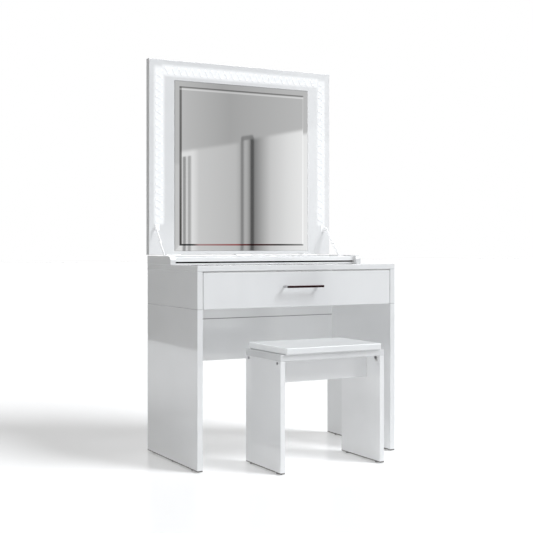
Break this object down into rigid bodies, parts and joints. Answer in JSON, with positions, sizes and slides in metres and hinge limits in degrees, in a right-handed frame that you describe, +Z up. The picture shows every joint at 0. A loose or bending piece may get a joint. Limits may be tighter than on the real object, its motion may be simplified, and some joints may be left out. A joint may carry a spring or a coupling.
{
  "type": "vanity table",
  "caption": "White dressing table with a long drawer, a raised rear tray, a fold-down mirror lid with a light strip, and a loose stool.",
  "frame": {"origin": "on the floor, at the middle of the ground that the table and the pulled-out stool cover together", "axes": "+X to the sitter's right, -Y towards the sitter, +Z up"},
  "size_m": [0.82, 0.6536, 1.4852],
  "materials": {
    "white_board": "satin",
    "white_gloss": "gloss",
    "white_seat": "satin",
    "grey_board": "matte",
    "dowel_wood": "matte",
    "groove_black": "matte",
    "mirror_glass": "polished",
    "strip_white": "matte",
    "lamp_white": "gloss",
    "inlet_black": "matte",
    "zinc_steel": "satin",
    "handle_metal": "polished",
    "glide_grey": "matte"
  },
  "bodies": {
    "table": {"leg_left": "white_board", "leg_right": "white_board", "leg_dowels": "dowel_wood", "leg_glides": "glide_grey", "case_side_left": "white_board", "case_side_right": "white_board", "case_bottom": "white_board", "back_board": "white_board", "modesty_panel": "white_board", "cam_locks": "zinc_steel", "table_top": "white_board", "tray_wall_left": "white_board", "tray_wall_right": "white_board", "tray_front_rail": "white_board", "tray_groove_strip": "groove_black", "tray_back_rail": "white_board", "hinge_leaves_fixed": "zinc_steel", "hinge_pins": "zinc_steel", "hinge_screws_fixed": "zinc_steel", "stay_brackets_fixed": "zinc_steel", "runners_outer": "zinc_steel"},
    "runner_middle": {"runners_middle": "zinc_steel"},
    "drawer": {"runners_inner": "zinc_steel", "drawer_front": "white_board", "drawer_side_left": "grey_board", "drawer_side_right": "grey_board", "drawer_back": "grey_board", "drawer_bottom": "grey_board", "handle_bar": "handle_metal", "handle_posts": "handle_metal", "handle_screws": "zinc_steel"},
    "lid": {"lid_board": "white_gloss", "mirror_glass": "mirror_glass", "light_strip_left": "strip_white", "light_strip_top": "strip_white", "light_strip_right": "strip_white", "lamps": "lamp_white", "power_inlet": "inlet_black", "hinge_leaves_lid": "zinc_steel", "hinge_screws_lid": "zinc_steel", "stay_brackets_lid": "zinc_steel"},
    "stays_lower": {"stay_lower_left": "zinc_steel", "stay_lower_right": "zinc_steel"},
    "stays_upper": {"stay_upper_left": "zinc_steel", "stay_upper_right": "zinc_steel"},
    "stool": {"stool_side_left": "white_board", "stool_side_right": "white_board", "stool_board": "white_board", "stool_seat": "white_seat", "stool_apron": "white_board", "stool_brackets": "zinc_steel", "stool_bolts": "zinc_steel", "stool_glides": "glide_grey"}
  },
  "joints": [
    {"name": "lid_hinge", "type": "hinge", "parent": "table", "child": "lid", "pos_m": [0, 0.29845, 0.737], "axis": [1, 0, 0], "range_deg": [0, 90]},
    {"name": "stay_lower_pivot", "type": "hinge", "parent": "table", "child": "stays_lower", "pos_m": [0, 0.19045, 0.728], "axis": [1, 0, 0], "range_deg": [-51, 1]},
    {"name": "stay_upper_pivot", "type": "hinge", "parent": "lid", "child": "stays_upper", "pos_m": [0, 0.28945, 0.845], "axis": [1, 0, 0], "range_deg": [-1, 42]},
    {"name": "drawer_slide", "type": "slide", "parent": "table", "child": "drawer", "axis": [0, -1, 0], "range_m": [0, 0.3]},
    {"name": "runner_slide", "type": "slide", "parent": "table", "child": "runner_middle", "axis": [0, -1, 0], "range_m": [0, 0.15]},
    {"name": "stool_slide", "type": "slide", "parent": "table", "child": "stool", "axis": [0, 1, 0], "range_m": [0, 0.28]}
  ],
  "couplings": [
    {"joint": "stay_lower_pivot", "follows": "lid_hinge", "ratio": -0.5529},
    {"joint": "stay_upper_pivot", "follows": "lid_hinge", "ratio": 0.4471},
    {"joint": "runner_slide", "follows": "drawer_slide", "ratio": 0.5}
  ]
}
